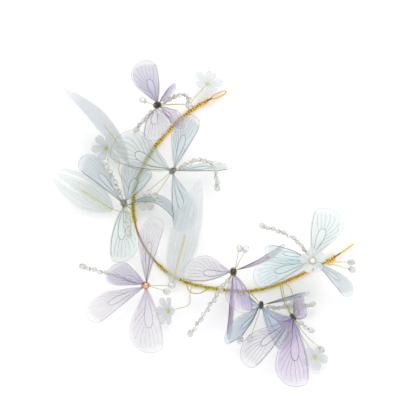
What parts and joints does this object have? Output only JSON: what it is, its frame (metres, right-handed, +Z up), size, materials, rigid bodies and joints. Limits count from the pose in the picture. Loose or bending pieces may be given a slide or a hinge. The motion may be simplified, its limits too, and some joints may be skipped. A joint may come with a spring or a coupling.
{
  "type": "butterfly hair vine",
  "caption": "C-shaped wire head band wrapped in gold wire with a tie loop at each end, carrying sheer fabric butterflies, crystal strings, long organza petals and small flowers.",
  "frame": {"origin": "centre of the head opening, on the surface that the band lies on", "axes": "+Z up out of the band plane, +Y towards the open side of the C, X from ear to ear"},
  "size_m": [0.287, 0.1948, 0.0705],
  "materials": {
    "band_wire": "drawn wire, satin",
    "gold_wrap": "bright gold wire",
    "lilac_organza": "sheer printed organza",
    "blue_organza": "sheer printed organza",
    "copper_bead": "polished copper",
    "bound_bead": "dark bead bound with gold wire",
    "green_gold_wire": "thin green-gold wire",
    "clear_crystal": "clear cut crystal",
    "yellow_wire": "thin yellow wire",
    "white_organza": "sheer white organza",
    "pearl": "pearl",
    "milky_flower": "thin milky petals"
  },
  "bodies": {
    "band_middle": {"band_core_middle": "band_wire", "wire_wrap_left_half": "gold_wrap", "wire_wrap_right_half": "gold_wrap", "petal_upper": "white_organza", "petal_left": "white_organza", "petal_centre": "white_organza", "petal_ribs": "yellow_wire", "flowers_middle": "milky_flower", "flower_wires_middle": "green_gold_wire"},
    "arm_left": {"band_core_left": "band_wire", "wire_wrap_left_arm": "gold_wrap", "tie_loop_left": "gold_wrap", "flowers_left_arm": "milky_flower", "flower_wires_left_arm": "green_gold_wire"},
    "arm_right": {"band_core_right": "band_wire", "wire_wrap_right_arm": "gold_wrap", "wire_wrap_end_coil": "gold_wrap", "tie_loop_right": "gold_wrap"},
    "butterfly_1": {"butterfly_1_body": "bound_bead", "butterfly_1_wires": "green_gold_wire", "butterfly_1_crystals": "clear_crystal"},
    "butterfly_1_left_pair": {"butterfly_1_wings_left": "lilac_organza"},
    "butterfly_1_right_pair": {"butterfly_1_wings_right": "lilac_organza"},
    "butterfly_2": {"butterfly_2_body": "bound_bead", "butterfly_2_wires": "green_gold_wire", "butterfly_2_crystals": "clear_crystal"},
    "butterfly_2_left_pair": {"butterfly_2_wings_left": "blue_organza"},
    "butterfly_2_right_pair": {"butterfly_2_wings_right": "blue_organza"},
    "butterfly_3": {"butterfly_3_body": "bound_bead", "butterfly_3_wires": "green_gold_wire", "butterfly_3_crystals": "clear_crystal"},
    "butterfly_3_left_pair": {"butterfly_3_wings_left": "blue_organza"},
    "butterfly_3_right_pair": {"butterfly_3_wings_right": "blue_organza"},
    "butterfly_4": {"butterfly_4_body": "copper_bead", "butterfly_4_wires": "green_gold_wire", "butterfly_4_crystals": "clear_crystal"},
    "butterfly_4_left_pair": {"butterfly_4_wings_left": "lilac_organza"},
    "butterfly_4_right_pair": {"butterfly_4_wings_right": "lilac_organza"},
    "butterfly_5": {"butterfly_5_body": "bound_bead", "butterfly_5_wires": "green_gold_wire", "butterfly_5_crystals": "clear_crystal"},
    "butterfly_5_left_pair": {"butterfly_5_wings_left": "lilac_organza"},
    "butterfly_5_right_pair": {"butterfly_5_wings_right": "lilac_organza"},
    "butterfly_6": {"butterfly_6_body": "bound_bead", "butterfly_6_wires": "green_gold_wire", "butterfly_6_crystals": "clear_crystal", "flower_on_butterfly": "milky_flower", "flower_pearl": "pearl"},
    "butterfly_6_left_pair": {"butterfly_6_wings_left": "blue_organza"},
    "butterfly_6_right_pair": {"butterfly_6_wings_right": "blue_organza"},
    "butterfly_7": {"butterfly_7_body": "bound_bead", "butterfly_7_wires": "green_gold_wire", "butterfly_7_crystals": "clear_crystal"},
    "butterfly_7_left_pair": {"butterfly_7_wings_left": "blue_organza"},
    "butterfly_7_right_pair": {"butterfly_7_wings_right": "blue_organza"},
    "butterfly_8": {"butterfly_8_body": "bound_bead", "butterfly_8_wires": "green_gold_wire", "butterfly_8_crystals": "clear_crystal"},
    "butterfly_8_left_pair": {"butterfly_8_wings_left": "lilac_organza"},
    "butterfly_8_right_pair": {"butterfly_8_wings_right": "lilac_organza"}
  },
  "joints": [
    {"name": "left_arm_flex", "type": "hinge", "parent": "band_middle", "child": "arm_left", "pos_m": [-0.076, -0.034, 0.0014], "axis": [0, 0, 1], "range_deg": [-4, 7]},
    {"name": "right_arm_flex", "type": "hinge", "parent": "band_middle", "child": "arm_right", "pos_m": [0.06375, -0.017, 0.0014], "axis": [0, 0, 1], "range_deg": [-7, 7]},
    {"name": "stem_1_bend", "type": "hinge", "parent": "arm_left", "child": "butterfly_1", "pos_m": [-0.08, 0.011, 0.0033], "axis": [0.7241, -0.6897, 0], "range_deg": [-4, 7]},
    {"name": "wings_left_1_flap", "type": "hinge", "parent": "butterfly_1", "child": "butterfly_1_left_pair", "pos_m": [-0.1, -0.01, 0.026], "axis": [0.4226, 0.9063, 0], "range_deg": [-16, 3]},
    {"name": "wings_right_1_flap", "type": "hinge", "parent": "butterfly_1", "child": "butterfly_1_right_pair", "pos_m": [-0.1, -0.01, 0.026], "axis": [-0.4226, -0.9063, 0], "range_deg": [-4, 3]},
    {"name": "stem_2_bend", "type": "hinge", "parent": "band_middle", "child": "butterfly_2", "pos_m": [-0.0725, -0.0455, 0.0033], "axis": [-0.6, 0.8, 0], "range_deg": [-2, 4]},
    {"name": "wings_left_2_flap", "type": "hinge", "parent": "butterfly_2", "child": "butterfly_2_left_pair", "pos_m": [-0.0545, -0.032, 0.03], "axis": [0.0175, -0.9998, 0], "range_deg": [-16, 5]},
    {"name": "wings_right_2_flap", "type": "hinge", "parent": "butterfly_2", "child": "butterfly_2_right_pair", "pos_m": [-0.0545, -0.032, 0.03], "axis": [-0.0175, 0.9998, 0], "range_deg": [-3, 9]},
    {"name": "stem_3_bend", "type": "hinge", "parent": "band_middle", "child": "butterfly_3", "pos_m": [-0.051, -0.074, 0.0033], "axis": [0.2577, -0.9662, 0], "range_deg": [-12, 3]},
    {"name": "wings_left_3_flap", "type": "hinge", "parent": "butterfly_3", "child": "butterfly_3_left_pair", "pos_m": [-0.0585, -0.076, 0.019], "axis": [0.9455, -0.3256, 0], "range_deg": [-16, 4]},
    {"name": "wings_right_3_flap", "type": "hinge", "parent": "butterfly_3", "child": "butterfly_3_right_pair", "pos_m": [-0.0585, -0.076, 0.019], "axis": [-0.9455, 0.3256, 0], "range_deg": [-16, 10]},
    {"name": "stem_4_bend", "type": "hinge", "parent": "band_middle", "child": "butterfly_4", "pos_m": [-0.016, -0.0855, 0.0033], "axis": [0.7288, 0.6847, 0], "range_deg": [-12, 11]},
    {"name": "wings_left_4_flap", "type": "hinge", "parent": "butterfly_4", "child": "butterfly_4_left_pair", "pos_m": [-0.0005, -0.102, 0.022], "axis": [0.6947, 0.7193, 0], "range_deg": [-16, 10]},
    {"name": "wings_right_4_flap", "type": "hinge", "parent": "butterfly_4", "child": "butterfly_4_right_pair", "pos_m": [-0.0005, -0.102, 0.022], "axis": [-0.6947, -0.7193, 0], "range_deg": [-16, 16]},
    {"name": "stem_5_bend", "type": "hinge", "parent": "band_middle", "child": "butterfly_5", "pos_m": [0.0175, -0.077, 0.0033], "axis": [-0.9026, 0.4305, 0], "range_deg": [-5, 9]},
    {"name": "wings_left_5_flap", "type": "hinge", "parent": "butterfly_5", "child": "butterfly_5_left_pair", "pos_m": [0.033, -0.0445, 0.027], "axis": [-0.7986, 0.6018, 0], "range_deg": [-11, 16]},
    {"name": "wings_right_5_flap", "type": "hinge", "parent": "butterfly_5", "child": "butterfly_5_right_pair", "pos_m": [0.033, -0.0445, 0.027], "axis": [0.7986, -0.6018, 0], "range_deg": [-16, 9]},
    {"name": "stem_6_bend", "type": "hinge", "parent": "arm_right", "child": "butterfly_6", "pos_m": [0.0665, -0.007, 0.0033], "axis": [-0.9844, -0.1758, 0], "range_deg": [-12, 12]},
    {"name": "wings_left_6_flap", "type": "hinge", "parent": "butterfly_6", "child": "butterfly_6_left_pair", "pos_m": [0.064, 0.007, 0.029], "axis": [0.5592, 0.829, 0], "range_deg": [-16, 13]},
    {"name": "wings_right_6_flap", "type": "hinge", "parent": "butterfly_6", "child": "butterfly_6_right_pair", "pos_m": [0.064, 0.007, 0.029], "axis": [-0.5592, -0.829, 0], "range_deg": [-16, 7]},
    {"name": "stem_7_bend", "type": "hinge", "parent": "band_middle", "child": "butterfly_7", "pos_m": [0.0525, -0.045, 0.0033], "axis": [-0.0767, 0.9971, 0], "range_deg": [-10, 3]},
    {"name": "wings_left_7_flap", "type": "hinge", "parent": "butterfly_7", "child": "butterfly_7_left_pair", "pos_m": [0.0655, -0.044, 0.019], "axis": [0.7193, -0.6947, 0], "range_deg": [-7, 14]},
    {"name": "wings_right_7_flap", "type": "hinge", "parent": "butterfly_7", "child": "butterfly_7_right_pair", "pos_m": [0.0655, -0.044, 0.019], "axis": [-0.7193, 0.6947, 0], "range_deg": [-11, 16]},
    {"name": "stem_8_bend", "type": "hinge", "parent": "band_middle", "child": "butterfly_8", "pos_m": [0.0625, -0.023, 0.0033], "axis": [0.3048, 0.9524, 0], "range_deg": [-3, 5]},
    {"name": "wings_left_8_flap", "type": "hinge", "parent": "butterfly_8", "child": "butterfly_8_left_pair", "pos_m": [0.0875, -0.031, 0.03], "axis": [0.9998, 0.0175, 0], "range_deg": [-16, 16]},
    {"name": "wings_right_8_flap", "type": "hinge", "parent": "butterfly_8", "child": "butterfly_8_right_pair", "pos_m": [0.0875, -0.031, 0.03], "axis": [-0.9998, -0.0175, 0], "range_deg": [-16, 16]}
  ]
}
